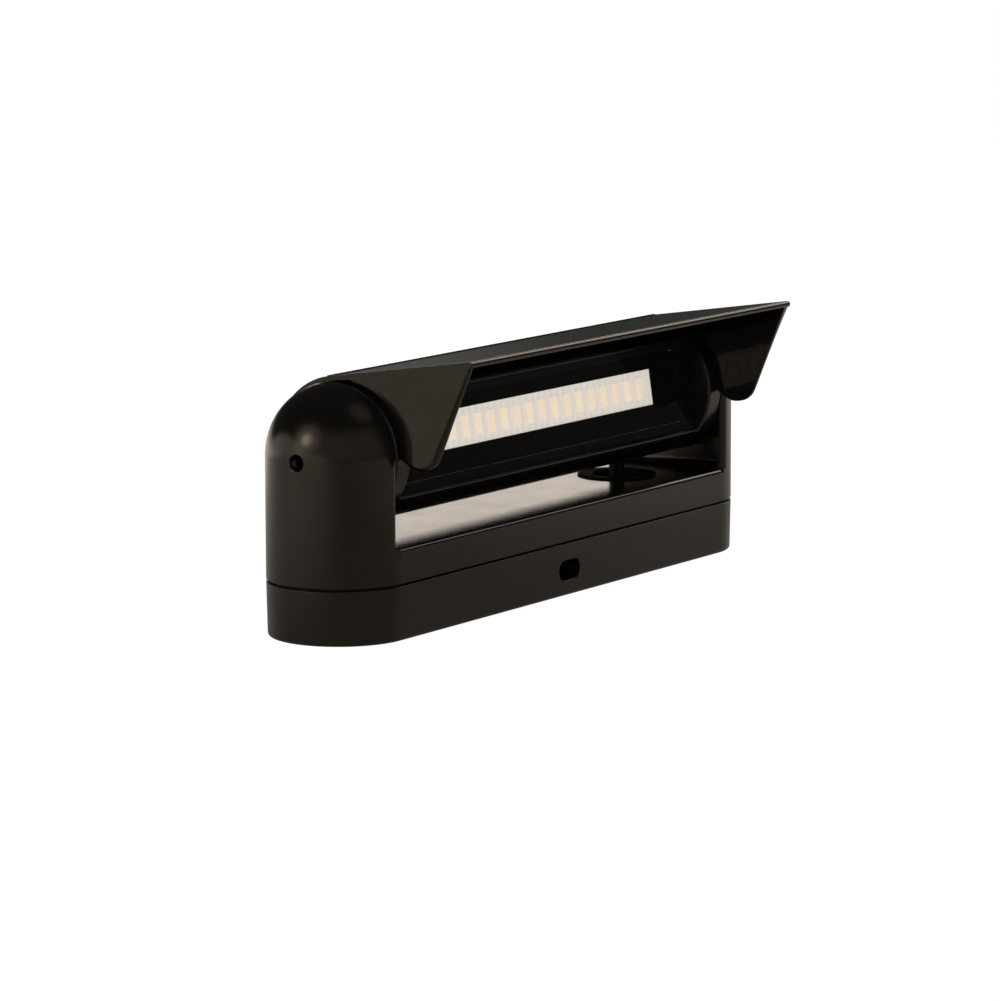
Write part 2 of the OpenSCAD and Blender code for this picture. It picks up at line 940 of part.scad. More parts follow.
module chamber_plug() {
    intersection() {
        chamber_plan(plug_gap);
        front_cut(web_back - driver_stand - driver_thickness - rail_wall - plug_gap);
    }
}

// Places along the light at the screw ports, pointing outwards
module at_port_x(x) {
    translate([x, 0, 0])
        rotate([0, 90, 0])
            rotate([0, 0, 90])
                mirror([1, 0, 0])
                    at_port()
                        children();
}

module cap_seal_ring() {
    color(rubber_black) on_head()
        translate([cap_inner - cap_seal / 2, 0, 0])
            along_x(cap_seal / 2)
                difference() {
                    intersection() {
                        circle(head_r - seal_step);
                        front_cut(lip_front - seal_step);
                    }
                    chamber_plan(0);
                    at_port()
                        circle(d = cap_screw_d + 2 * screw_clearance, $fn = small_fn);
                }
}

module cap_screws() {
    seat = cap_inner + cap_thickness - cap_screw_sink;
    color(steel) on_head() at_port_x(seat)
        difference() {
            union() {
                translate([0, 0, -cap_screw_length])
                    cylinder(d = cap_screw_d, h = cap_screw_length + 0.1, $fn = small_fn);
                cylinder(d = cap_screw_head_d, h = cap_screw_head_height, $fn = small_fn);
            }
            translate([0, 0, cap_screw_head_height - cap_hex_depth])
                cylinder(d = cap_hex_flats / cos(30), h = cap_hex_depth + cut, $fn = 6);
        }
}

module end_cap_right() { end_cap(); }
module end_cap_left() { left() end_cap(); }
module cap_seal_right() { cap_seal_ring(); }
module cap_seal_left() { left() cap_seal_ring(); }
module cap_screws_right() { cap_screws(); }
module cap_screws_left() { left() cap_screws(); }

// Glass and light source

module glass_lens() {
    color("#101214", 0.6) on_head()
        along_x(housing_half - glass_gap)
            band(glass_back, glass_front, pocket_low + glass_gap, pocket_high - glass_gap);
}

module lens_seal() {
    color(rubber_black) on_head() difference() {
        along_x(housing_half - glass_gap)
            band(pocket_back, glass_back, pocket_low + glass_gap, pocket_high - glass_gap);
        along_x(housing_half - seal_width)
            band(pocket_back - cut, glass_back + cut, trough_low, trough_high);
    }
}

module window_mask() {
    color(rubber_black) on_head() difference() {
        along_x(housing_half - seal_width - slide_gap)
            band(mask_back, mask_front, trough_low + slide_gap, trough_high - slide_gap);
        along_x(window_width / 2)
            band(mask_back - cut, mask_front + cut, window_rise - window_height / 2,
                window_rise + window_height / 2);
    }
}

module led_board() {
    color("#f2f0ea") on_head()
        along_x(housing_half - 1)
            band(board_back, board_front, trough_low - groove_depth + slide_gap,
                trough_high + groove_depth - slide_gap);
}

module thermal_pad() {
    color("#8d9298") on_head()
        along_x(housing_half - 2)
            band(web_front, board_back, trough_low + slide_gap, trough_high - slide_gap);
}

// Every second package along the board, starting at first
module leds(first) {
    on_head()
        for (i = [first : 2 : led_count - 1])
            translate([(i - (led_count - 1) / 2) * led_pitch, 0, 0])
                along_x(led_size[0] / 2)
                    band(board_front, board_front + led_size[2],
                        window_rise - led_size[1] / 2, window_rise + led_size[1] / 2);
}

module leds_pale() { color("#f3dca0") leds(0); }
module leds_amber() { color("#f0b880") leds(1); }

module driver_board() {
    board = web_back - driver_stand;
    color("#1f5a3a") on_head()
        translate([driver_x, 0, 0])
            along_x(driver_length / 2)
                band(board - driver_thickness, board, slide_gap - driver_half,
                    driver_half - slide_gap);
}

// Capacitors and a choke behind the driver board, and chips in front of it
module driver_parts() {
    board = web_back - driver_stand;
    back = board - driver_thickness;
    color("#30343a") on_head() {
        for (x = capacitor_x)
            translate([driver_x + x, -back, 0])
                rotate([-90, 0, 0])
                    cylinder(d = capacitor_d, h = part_height, $fn = small_fn);
        translate([driver_x + choke_x, -back, 0])
            rotate([-90, 0, 0])
                difference() {
                    cylinder(d = choke_d, h = part_height, $fn = small_fn);
                    translate([0, 0, -cut])
                        cylinder(d = choke_hole_d, h = part_height + 2 * cut, $fn = small_fn);
                }
        for (x = chip_x)
            translate([driver_x + x, 0, 0])
                along_x(chip_size[0] / 2)
                    band(board, board + chip_size[2], -chip_size[1] / 2, chip_size[1] / 2);
    }
}

// Visor

// Side view of the visor's sheet: flat in front, then round the head's back
module sheet_plan() {
    band(-cut, visor_reach - visor_thickness / 2, visor_inner, visor_outer);
    translate([visor_reach - visor_thickness / 2, (visor_inner + visor_outer) / 2])
        circle(d = visor_thickness, $fn = small_fn);
    difference() {
        circle(visor_outer);
        circle(visor_inner);
        wedge(visor_wrap - 360, 90);
    }
}

// A sector between two angles, wide enough to cut the visor
module wedge(from, to) {
    r = 2 * visor_outer;
    polygon(concat([[0, 0]], [for (i = [0 : 4]) let (a = from + (to - from) * i / 4)
        r * [cos(a), sin(a)]]));
}

// Side view of a cheek: a straight leaning front edge and a rounded tip,
// cut back to clear the end cap
module cheek_plan() {
    top = (visor_inner + visor_outer) / 2;
    front_top = [visor_reach - cheek_setback, top];
    tip_v = tip_round - cheek_drop;
    run = (top + tip_round * sin(cheek_lean) - tip_v) / cos(cheek_lean);
    tip_u = front_top[0] - run * sin(cheek_lean) - tip_round * cos(cheek_lean);
    rear = arc([tip_u - tip_flat, tip_v], tip_round, -90, -90 - cheek_rise, 4);
    difference() {
        polygon(concat(
            [[visor_inner / 3, top], front_top],
            arc([tip_u, tip_v], tip_round, -cheek_lean, -90, 6),
            rear,
            [rear[4] + tip_round * [-cos(cheek_rise), sin(cheek_rise)]]));
        circle(visor_inner);
    }
}

module visor() {
    color(bronze) on_head() difference() {
        union() {
            along_x(visor_half)
                sheet_plan();
            for (side = [-1, 1])
                translate([side * (visor_half - cheek_thickness / 2), 0, 0])
                    along_x(cheek_thickness / 2)
                        cheek_plan();
        }
        at_visor_screws() {
            back_rod(visor_screw_angle, 0, visor_outer + cut, visor_inner - cut,
                visor_screw_d + 2 * screw_clearance, visor_screw_d + 2 * screw_clearance);
            back_rod(visor_screw_angle, 0, visor_outer + cut, visor_outer - visor_seat_depth,
                visor_head_d + 2 * screw_clearance, visor_head_d + 2 * screw_clearance);
        }
    }
}

module visor_screws() {
    seat = visor_outer - visor_seat_depth;
    color(steel) on_head() at_visor_screws() {
        back_rod(visor_screw_angle, 0, seat + 0.1, seat - visor_screw_length,
            visor_screw_d, visor_screw_d);
        back_rod(visor_screw_angle, 0, visor_outer + visor_head_rise, seat,
            visor_head_d - 2 * visor_head_rise, visor_head_d);
    }
}

base_tray();
base_seal();
base_screws();
cable_clamp();
cable_clamp_screws();
terminal_block();
terminal_screws();
yoke();
lead_grommet();
head_lead();
pivot_bush_left();
pivot_bush_right();
tilt_washer_left();
tilt_washer_right();
pivot_screw_left();
pivot_screw_right();
spring_washer_left();
spring_washer_right();
end_cap_left();
end_cap_right();
cap_seal_left();
cap_seal_right();
cap_screws_left();
cap_screws_right();
head_housing();
lead_gland();
glass_lens();
lens_seal();
window_mask();
led_board();
leds_pale();
leds_amber();
thermal_pad();
driver_board();
driver_parts();
visor();
visor_screws();
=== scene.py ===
import json
import math

import bmesh
import bpy
from mathutils import Matrix, Vector


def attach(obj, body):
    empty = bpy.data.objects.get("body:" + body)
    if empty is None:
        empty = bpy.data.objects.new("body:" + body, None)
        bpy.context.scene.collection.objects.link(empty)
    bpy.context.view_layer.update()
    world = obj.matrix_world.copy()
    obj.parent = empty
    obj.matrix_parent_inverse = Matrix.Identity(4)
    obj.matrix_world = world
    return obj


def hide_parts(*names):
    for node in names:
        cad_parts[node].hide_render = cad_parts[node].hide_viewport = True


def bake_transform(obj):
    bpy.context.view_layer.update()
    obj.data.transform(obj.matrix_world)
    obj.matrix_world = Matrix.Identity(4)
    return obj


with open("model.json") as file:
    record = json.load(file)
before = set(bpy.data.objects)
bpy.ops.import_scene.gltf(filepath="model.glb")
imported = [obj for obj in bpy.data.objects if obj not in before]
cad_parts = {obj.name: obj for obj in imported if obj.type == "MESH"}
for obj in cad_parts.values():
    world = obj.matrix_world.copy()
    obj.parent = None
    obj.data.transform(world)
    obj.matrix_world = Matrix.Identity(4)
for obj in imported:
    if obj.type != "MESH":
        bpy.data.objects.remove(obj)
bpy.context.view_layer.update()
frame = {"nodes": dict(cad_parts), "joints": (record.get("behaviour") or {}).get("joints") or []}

# Linear path light. Metres, +Z up, the light shines towards -Y.

mm = 0.001
tiltAxis = Vector(frame["joints"][0]["pos_m"])
headTilt = 8.5  # degrees, front upwards, as the head stands at rest


# Shader maths

class Signal:
    # one socket of a shader tree, so that maths on it reads as maths

    def __init__(self, recipe, socket):
        self.recipe = recipe
        self.socket = socket

    def maths(self, operation, first, second):
        return self.recipe.node("ShaderNodeMath", {"operation": operation}, {0: first, 1: second})

    def __add__(self, other):
        return self.maths("ADD", self, other)

    def __sub__(self, other):
        return self.maths("SUBTRACT", self, other)

    def __mul__(self, other):
        return self.maths("MULTIPLY", self, other)

    def __truediv__(self, other):
        return self.maths("DIVIDE", self, other)

    def __rsub__(self, other):
        return self.maths("SUBTRACT", other, self)

    def __rtruediv__(self, other):
        return self.maths("DIVIDE", other, self)

    __radd__ = __add__
    __rmul__ = __mul__

    def orMore(self, other):
        return self.maths("MAXIMUM", self, other)

    def above(self, low, high):
        # 0 below low, 1 above high, smooth between them
        settings = {"interpolation_type": "SMOOTHSTEP"}
        return self.recipe.node("ShaderNodeMapRange", settings, {0: self, 1: low, 2: high})


class Recipe:
    # a material or world that is put together node by node

    def __init__(self, owner):
        owner.use_nodes = True
        self.owner = owner
        self.tree = owner.node_tree
        self.tree.nodes.clear()

    def node(self, kind, settings=None, inputs=None, output=0):
        made = self.tree.nodes.new(kind)
        for name, value in (settings or {}).items():
            setattr(made, name, value)
        for name, value in (inputs or {}).items():
            if isinstance(value, Signal):
                self.tree.links.new(value.socket, made.inputs[name])
            else:
                made.inputs[name].default_value = value
        return Signal(self, made.outputs[output]) if made.outputs else None

    def places(self, stretch=(1, 1, 1)):
        # Object coordinates in metres, stretched where a grain has a direction
        coordinates = self.node("ShaderNodeTexCoord", output="Object")
        return self.node("ShaderNodeMapping", None, {"Vector": coordinates, "Scale": stretch})

    def noise(self, size, detail=3, roughness=0.5, stretch=(1, 1, 1)):
        # size is that of one blotch, in metres
        inputs = {"Vector": self.places(stretch), "Scale": 1 / size, "Detail": detail,
                  "Roughness": roughness}
        return self.node("ShaderNodeTexNoise", None, inputs)

    def mixColours(self, share, first, second):
        settings = {"data_type": "RGBA"}
        inputs = {"Factor": share, 6: first, 7: second}
        return self.node("ShaderNodeMix", settings, inputs, output=2)

    def bump(self, height, depth, under=None):
        inputs = {"Height": height, "Distance": depth}
        if under:
            inputs["Normal"] = under
        return self.node("ShaderNodeBump", None, inputs)

    def finish(self, shader):
        isWorld = isinstance(self.owner, bpy.types.World)
        kind = "ShaderNodeOutputWorld" if isWorld else "ShaderNodeOutputMaterial"
        self.node(kind, None, {"Surface": shader})
        return self.owner


def newRecipe(name):
    return Recipe(bpy.data.materials.new(name))


def grey(level):
    return (level, level, level, 1)


# Materials

paintLook = {
    "dark": (0.0030, 0.0026, 0.0021, 1),
    "light": (0.0046, 0.0040, 0.0032, 1),
    "worn": (0.022, 0.019, 0.016, 1),
    "sheen": (1.0, 0.88, 0.76, 1),  # tint of the metallic flake
    "grain": 0.42 * mm,  # one dimple of the powder coat
    "grainDepth": 0.0022 * mm,
    "ripple": 1.5,  # depth of the slow waves over that of the dimples
    "cloud": 14 * mm,  # slow change in the colour
    "scratch": 3.5 * mm, "scratchStretch": (0.25, 1, 1),
    "speckShare": 0.35, "wearShare": 0.5,
    "cloudRough": 0.06, "scratchRough": 0.04, "wearSmooth": 0.05,
}


def paintedMetal(name, roughness, coarse=1):
    # coarse is 1 for powder coat, and nearer 0 for a smoother coat
    look = paintLook
    recipe = newRecipe(name)
    clouds = recipe.noise(look["cloud"], detail=4)
    specks = recipe.noise(look["grain"] * 3, detail=2)
    grain = recipe.noise(look["grain"], detail=2, roughness=0.6)
    ripple = recipe.noise(look["grain"] * 5, detail=1)
    rubs = recipe.noise(look["scratch"], 5, 0.7, look["scratchStretch"])
    edges = recipe.node("ShaderNodeAttribute", {"attribute_name": "edge"}, output="Fac")
    wear = (edges * rubs.above(0.42, 0.66)).above(0.3, 0.9)
    body = recipe.mixColours(clouds.above(0.3, 0.7), look["dark"], look["light"])
    body = recipe.mixColours(specks.above(0.62, 0.8) * look["speckShare"], body, look["light"])
    body = recipe.mixColours(wear * look["wearShare"], body, look["worn"])
    uneven = (clouds - 0.5) * look["cloudRough"] + (rubs - 0.5) * look["scratchRough"]
    rough = roughness + uneven * coarse - wear * look["wearSmooth"]
    dimples = recipe.bump(grain, look["grainDepth"] * coarse)
    surface = recipe.bump(ripple, look["grainDepth"] * look["ripple"] * coarse, under=dimples)
    return recipe.finish(recipe.node("ShaderNodeBsdfPrincipled", None, {
        "Base Color": body, "Roughness": rough, "Specular Tint": look["sheen"],
        "Normal": surface}))


rubberLook = {
    "shine": 0.25, "grain": 0.25 * mm, "grainDepth": 0.004 * mm,
    "bloom": 5 * mm, "bloomShare": 0.6, "bloomRough": 0.2, "dust": 1.9,  # times the colour
}


def rubber(name, colour, roughness):
    look = rubberLook
    recipe = newRecipe(name)
    bloom = recipe.noise(look["bloom"], detail=4)
    grain = recipe.noise(look["grain"], detail=2)
    dusty = tuple(min(1, c * look["dust"]) for c in colour[:3]) + (1,)
    skin = recipe.mixColours(bloom.above(0.4, 0.75) * look["bloomShare"], colour, dusty)
    return recipe.finish(recipe.node("ShaderNodeBsdfPrincipled", None, {
        "Base Color": skin, "Roughness": roughness + (bloom - 0.5) * look["bloomRough"],
        "Specular IOR Level": look["shine"],
        "Normal": recipe.bump(grain, look["grainDepth"])}))


steelLook = {
    "dark": (0.42, 0.42, 0.41, 1), "light": (0.60, 0.59, 0.57, 1), "stain": 2.5 * mm,
    "brush": 0.12 * mm, "brushStretch": (1, 1, 0.06), "brushDepth": 0.003 * mm,
    "roughness": 0.24, "brushRough": 0.2,
}


def brushedSteel(name):
    look = steelLook
    recipe = newRecipe(name)
    lines = recipe.noise(look["brush"], 4, 0.7, look["brushStretch"])
    stain = recipe.noise(look["stain"], detail=3)
    colour = recipe.mixColours(stain.above(0.35, 0.7), look["dark"], look["light"])
    return recipe.finish(recipe.node("ShaderNodeBsdfPrincipled", None, {
        "Base Color": colour, "Metallic": 1.0,
        "Roughness": look["roughness"] + lines * look["brushRough"],
        "Normal": recipe.bump(lines, look["brushDepth"])}))


def paintedGlowOf(recipe, colour):
    # a painted glow that stands in for light falling on the strip; the paint and glass beside it do
    # not mirror it
    bounces = recipe.node("ShaderNodeLightPath", output="Glossy Depth")
    spread = recipe.node("ShaderNodeLightPath", output="Diffuse Depth")
    return recipe.mixColours((bounces + spread).above(0, 1), colour, grey(0))


mouldedLook = {
    "flow": 4 * mm, "flowRough": 0.16, "grain": 0.2 * mm, "grainDepth": 0.003 * mm,
}


def moulded(name, first, second, roughness=0.48, paintedGlow=0, shine=0.5):
    look = mouldedLook
    recipe = newRecipe(name)
    flow = recipe.noise(look["flow"], detail=4)
    grain = recipe.noise(look["grain"], detail=2)
    skin = recipe.mixColours(flow.above(0.3, 0.7), first, second)
    inputs = {"Base Color": skin, "Roughness": roughness + (flow - 0.5) * look["flowRough"],
              "Specular IOR Level": shine, "Normal": recipe.bump(grain, look["grainDepth"])}
    # painted light: the glow stands in for light falling on the part
    if paintedGlow:
        inputs.update({"Emission Color": paintedGlowOf(recipe, skin), "Emission Strength": paintedGlow})
    return recipe.finish(recipe.node("ShaderNodeBsdfPrincipled", None, inputs))


boardLook = {
    "trackHeight": 0.02 * mm, "trackShare": 0.6, "ink": 3 * mm, "inkShare": 0.2,
    "roughness": 0.38, "inkRough": 0.1, "waveScale": 0.314,  # over the pitch of the tracks
}


def boardMask(name, colour, trace, pitch, paintedGlow=0):
    # solder mask over copper: the tracks stand up a little and show paler
    look = boardLook
    recipe = newRecipe(name)
    settings = {"wave_type": "BANDS", "bands_direction": "X", "wave_profile": "SIN"}
    tracks = recipe.node("ShaderNodeTexWave", settings, {
        "Vector": recipe.places(), "Scale": look["waveScale"] / pitch, "Distortion": 0.0})
    raised = tracks.above(0.55, 0.62)
    ink = recipe.noise(look["ink"], detail=3)
    shade = recipe.mixColours(raised * look["trackShare"], colour, trace)
    shade = recipe.mixColours(ink.above(0.45, 0.8) * look["inkShare"], shade, trace)
    inputs = {"Base Color": shade, "Roughness": look["roughness"] + ink * look["inkRough"],
              "Normal": recipe.bump(raised, look["trackHeight"])}
    # painted light: the glow stands in for light falling on the board
    if paintedGlow:
        inputs.update({"Emission Color": paintedGlowOf(recipe, shade), "Emission Strength": paintedGlow})
    return recipe.finish(recipe.node("ShaderNodeBsdfPrincipled", None, inputs))


gelLook = {
    "grain": 0.22 * mm, "grainDepth": 0.01 * mm, "paleShare": 0.5,
    "roughness": 0.3, "grainRough": 0.2,
}


def phosphor(name, colour, paintedGlow):
    look = gelLook
    recipe = newRecipe(name)
    grains = recipe.noise(look["grain"], detail=3, roughness=0.6)
    pale = tuple(0.5 + c * 0.5 for c in colour[:3]) + (1,)
    gel = recipe.mixColours(grains.above(0.35, 0.75) * look["paleShare"], colour, pale)
    # painted light: the gel glows to stand in for light falling on it
    return recipe.finish(recipe.node("ShaderNodeBsdfPrincipled", None, {
        "Base Color": gel, "Roughness": look["roughness"] + grains * look["grainRough"],
        "Emission Color": paintedGlowOf(recipe, gel), "Emission Strength": paintedGlow,
        "Normal": recipe.bump(grains, look["grainDepth"])}))


paneLook = {
    "ior": 1.5, "mirror": 1.6, "tint": (0.90, 0.905, 0.90, 1),
    "film": 18 * mm, "roughness": 0.02, "filmRough": 0.05,
}


def paneGlass(name):
    # a thin clear pane: what is behind it stays where it is, and its outer face mirrors a little
    look = paneLook
    recipe = newRecipe(name)
    film = recipe.noise(look["film"], detail=4)
    facing = recipe.node("ShaderNodeFresnel", None, {"IOR": look["ior"]})
    inside = recipe.node("ShaderNodeNewGeometry", output="Backfacing")
    clear = recipe.node("ShaderNodeBsdfTransparent", None, {"Color": look["tint"]})
    mirror = recipe.node("ShaderNodeBsdfAnisotropic", None, {
        "Color": grey(1), "Roughness": look["roughness"] + film * look["filmRough"]})
    share = facing * look["mirror"] * (1 - inside)
    return recipe.finish(recipe.node("ShaderNodeMixShader", None, {0: share, 1: clear, 2: mirror}))


finishes = {  # the colours come first, then the roughness or pitch, and last the painted glow
    "tray": paintedMetal("bronzeTray", 0.26),
    "yoke": paintedMetal("bronzeYoke", 0.20),
    "cap": paintedMetal("bronzeCap", 0.24),
    "housing": paintedMetal("bronzeHousing", 0.26),
    "visor": paintedMetal("bronzeVisor", 0.065, coarse=0.1),
    "seal": rubber("siliconeSeal", (0.0022, 0.0018, 0.0015, 1), 0.8),
    "grommet": rubber("grommetRubber", (0.0014, 0.0013, 0.0012, 1), 0.8),
    "lead": rubber("leadJacket", (0.0014, 0.0014, 0.0013, 1), 0.6),
    "steel": brushedSteel("screwSteel"),
    "nylon": moulded("naturalNylon", (0.60, 0.57, 0.49, 1), (0.68, 0.65, 0.57, 1)),
    "glass": paneGlass("frontGlass"),
    "mask": moulded("frameBlack", (0.0003, 0.0003, 0.0003, 1), (0.0006, 0.0006, 0.0005, 1), 0.6,
                    shine=0.04),
    # painted light: the board, packages and phosphors glow in place of light on the unlit strip
    "board": boardMask("whiteBoard", (0.78, 0.71, 0.65, 1), (0.83, 0.77, 0.71, 1), 3.1 * mm, 0.87),
    "package": moulded("packageWhite", (0.84, 0.72, 0.60, 1), (0.88, 0.76, 0.64, 1), 0.4, 0.99),
    "pale": phosphor("phosphorPale", (0.89, 0.71, 0.49, 1), 0.97),
    "amber": phosphor("phosphorAmber", (0.89, 0.68, 0.48, 1), 0.97),
    "pad": rubber("thermalPad", (0.25, 0.27, 0.29, 1), 0.8),
    "driver": boardMask("greenBoard", (0.012, 0.075, 0.035, 1), (0.03, 0.13, 0.06, 1), 2.5 * mm),
    "parts": moulded("driverCases", (0.020, 0.022, 0.026, 1), (0.05, 0.055, 0.06, 1), 0.4),
}
print("materials made:", len(finishes))


# Modelling helpers

castingLook = {
    "mergeWithin": 0.002 * mm,
    "flatAngle": math.radians(0.6),  # faces that turn less than this become one
    "sharpAngle": math.radians(32), "roundSteps": 3,  # edges that turn more are rounded
    "smoothAngle": math.radians(38),
    "normalWeight": 80,
    "wearStart": 11, "wearFull": 35,  # degrees that an edge turns
    "broadFace": 0.3 * mm,  # area over rim of a face that does not wear
}


def selectOnly(piece):
    for other in bpy.context.selected_objects:
        other.select_set(False)
    bpy.context.view_layer.objects.active = piece
    piece.select_set(True)


def applyModifier(piece, kind, **settings):
    selectOnly(piece)
    modifier = piece.modifiers.new(kind.title(), kind)
    for name, value in settings.items():
        setattr(modifier, name, value)
    bpy.ops.object.modifier_apply(modifier=modifier.name)


def markEdges(piece):
    # an attribute that is 1 along narrow rounded edges, for the paint to wear there
    look = castingLook
    work = bmesh.new()
    work.from_mesh(piece.data)
    sharpness = []
    for point in work.verts:
        turns = [math.degrees(e.calc_face_angle(0.0)) for e in point.link_edges]
        broad = any(f.calc_area() > look["broadFace"] * f.calc_perimeter()
                    for f in point.link_faces)
        sharpness.append(0.0 if broad else max(turns, default=0.0))
    work.free()
    edge = piece.data.attributes.new("edge", "FLOAT", "POINT")
    span = look["wearFull"] - look["wearStart"]
    values = [min(1.0, max(0.0, (s - look["wearStart"]) / span)) for s in sharpness]
    edge.data.foreach_set("value", values)


def settle(piece, body, finish, replaced=()):
    # gives a finished piece its place in the frame
    selectOnly(piece)
    bpy.ops.object.transform_apply(location=True, rotation=True, scale=True)
    piece.data.materials.clear()
    piece.data.materials.append(finishes[finish])
    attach(piece, body)
    if replaced:
        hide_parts(*replaced)
    return piece


def freeCopy(node, name):
    # a copy of a node on its own, merged, with its flat faces in one piece
    piece = frame["nodes"][node].copy()
    piece.data = piece.data.copy()
    piece.parent = None
    piece.name = name
    for key in list(piece.keys()):
        del piece[key]
    bpy.context.scene.collection.objects.link(piece)
    selectOnly(piece)
    bpy.ops.object.mode_set(mode="EDIT")
    bpy.ops.mesh.select_all(action="SELECT")
    bpy.ops.mesh.remove_doubles(threshold=castingLook["mergeWithin"])
    bpy.ops.mesh.dissolve_limited(angle_limit=castingLook["flatAngle"])
    bpy.ops.object.mode_set(mode="OBJECT")
    return piece


def roundEdges(piece, width, wanted, steps):
    # bevels the sharp edges whose middle is wanted
    selectOnly(piece)
    bpy.ops.object.mode_set(mode="EDIT")
    bpy.ops.mesh.select_mode(type="EDGE")
    bpy.ops.mesh.select_all(action="DESELECT")
    work = bmesh.from_edit_mesh(piece.data)
    for edge in work.edges:
        middle = (edge.verts[0].co + edge.verts[1].co) / 2
        if edge.calc_face_angle(0.0) > castingLook["sharpAngle"] and wanted(middle):
            edge.select = True
    bmesh.update_edit_mesh(piece.data)
    bpy.ops.mesh.bevel(offset=width, segments=steps, affect="EDGES")
    bpy.ops.object.mode_set(mode="OBJECT")


def smoothCasting(piece):
    selectOnly(piece)
    bpy.ops.object.shade_smooth_by_angle(angle=castingLook["smoothAngle"])
    applyModifier(piece, "WEIGHTED_NORMAL", keep_sharp=True, weight=castingLook["normalWeight"])
    markEdges(piece)


def wayOut(place):
    # from the middle line of the yoke's round skin to a place on it
    middleX = math.copysign(min(abs(place.x), yokeLook["endMiddle"]), place.x)
    return Vector((place.x - middleX, place.y, max(place.z - tiltAxis.z, 0)))


def trueNormals(piece):
    # the posts' walls and domes shade as the round shapes that they are, not as facets
    look = yokeLook
    mesh = piece.data
    normals = [Vector(corner.vector) for corner in mesh.corner_normals]
    for face in mesh.polygons:
        outwards = [wayOut(mesh.vertices[index].co) for index in face.vertices]
        onSkin = all(abs(way.length - look["radius"]) < look["skinWithin"] for way in outwards)
        middle = sum(outwards, Vector()) / len(outwards)
        if onSkin and face.normal.dot(middle.normalized()) > look["facesOut"]:
            for corner, way in zip(face.loop_indices, outwards):
                normals[corner] = way.normalized()
    mesh.normals_split_custom_set(normals)


def castPiece(node, name, rounding):
    # a node's shape with its sharp edges rounded as a coated casting's are
    look = castingLook
    piece = freeCopy(node, name)
    if node == "visor":
        roundEdges(piece, visorLook["cheekRound"], onCheekRim, visorLook["cheekSteps"])
    if node == "yoke":
        roundEdges(piece, rounding, onYokeFoot, look["roundSteps"])
    else:
        applyModifier(piece, "BEVEL", width=rounding, segments=look["roundSteps"],
                      limit_method="ANGLE", angle_limit=look["sharpAngle"],
                      use_clamp_overlap=False, miter_outer="MITER_ARC")
    smoothCasting(piece)
    if node == "yoke":
        trueNormals(piece)
    return piece


# Painted castings, which keep the frame's shapes

visorLook = {
    "cheekRound": 1.3 * mm, "outerFace": 80.9 * mm, "sheetUnderside": 18.6 * mm,
    "clearOfCap": 19.4 * mm, "cheekSteps": 4,
}
yokeLook = {
    "seam": 15.2 * mm, "footRadius": 18.5 * mm,  # the foot's rim lies below and outside these
    "endMiddle": 80.55 * mm, "radius": 19.45 * mm,  # of the round ends and domes
    "skinWithin": 0.02 * mm, "facesOut": 0.95,
}


def fromHead(point):
    # forwards and up from the tilt axis, in the head's own frame
    turn = math.radians(headTilt)
    y, z = point.y - tiltAxis.y, point.z - tiltAxis.z
    return (z * math.sin(turn) - y * math.cos(turn), z * math.cos(turn) + y * math.sin(turn))


def onCheekRim(point):
    forwards, up = fromHead(point)
    return (abs(point.x) > visorLook["outerFace"] and up < visorLook["sheetUnderside"]
            and forwards > 0 and math.hypot(forwards, up) > visorLook["clearOfCap"])


def onYokeFoot(point):
    outwards = math.hypot(max(abs(point.x) - yokeLook["endMiddle"], 0), point.y)
    return point.z < yokeLook["seam"] and outwards > yokeLook["footRadius"]


castings = {
    "base_tray": ("trayShell", 0.22 * mm, "stand", "tray", "tray_paint"),
    "yoke": ("yokeShell", 0.25 * mm, "stand", "yoke", "yoke_paint"),
    "end_cap_left": ("capLeft", 0.15 * mm, "head", "cap", "cap_paint"),
    "end_cap_right": ("capRight", 0.15 * mm, "head", "cap", "cap_paint"),
    "head_housing": ("housingShell", 0.2 * mm, "head", "housing", "housing_paint"),
    "visor": ("visorShell", 0.22 * mm, "head", "visor", "visor_paint"),
}

for node, (name, rounding, body, finish, slot) in castings.items():
    settle(castPiece(node, name, rounding), body, finish, (node,))
    print("casting:", name)


# Nodes that stay as they are and take a finish

kept = {
    "base_seal": "seal", "cap_seal_left": "seal", "cap_seal_right": "seal", "lens_seal": "seal",
    "lead_grommet": "grommet", "lead_gland": "grommet", "base_screws": "steel",
    "cable_clamp_screws": "steel", "terminal_screws": "steel", "pivot_screw_left": "steel",
    "pivot_screw_right": "steel", "spring_washer_left": "steel", "spring_washer_right": "steel",
    "cap_screws_left": "steel", "cap_screws_right": "steel", "visor_screws": "steel",
    "cable_clamp": "nylon", "terminal_block": "nylon", "pivot_bush_left": "nylon",
    "pivot_bush_right": "nylon", "tilt_washer_left": "nylon", "tilt_washer_right": "nylon",
    "glass_lens": "glass", "window_mask": "mask", "led_board": "board", "thermal_pad": "pad",
    "driver_board": "driver", "driver_parts": "parts",
}

for node, finish in kept.items():
    piece = frame["nodes"][node]
    for slot in piece.material_slots:
        slot.material = finishes[finish]
print("nodes finished:", len(kept))


# The lead between the base and the head

leadLook = {
    "thickness": 4.4 * mm, "x": 56.6 * mm, "y": 1 * mm,
    "top": 34.2 * mm, "bendRadius": 9 * mm, "runHeight": 9.4 * mm,
    "blockX": 12 * mm, "straight": 5 * mm, "blockY": 7.4 * mm,
    "dropStep": 0.75 * mm, "dropSteps": 18, "bendSteps": 12, "runSteps": 16, "roundness": 6,
    "bendsFrom": 21.5 * mm, "bendsTo": 30.0 * mm,  # heights between which the lead would follow the head; this script does not bend it
}


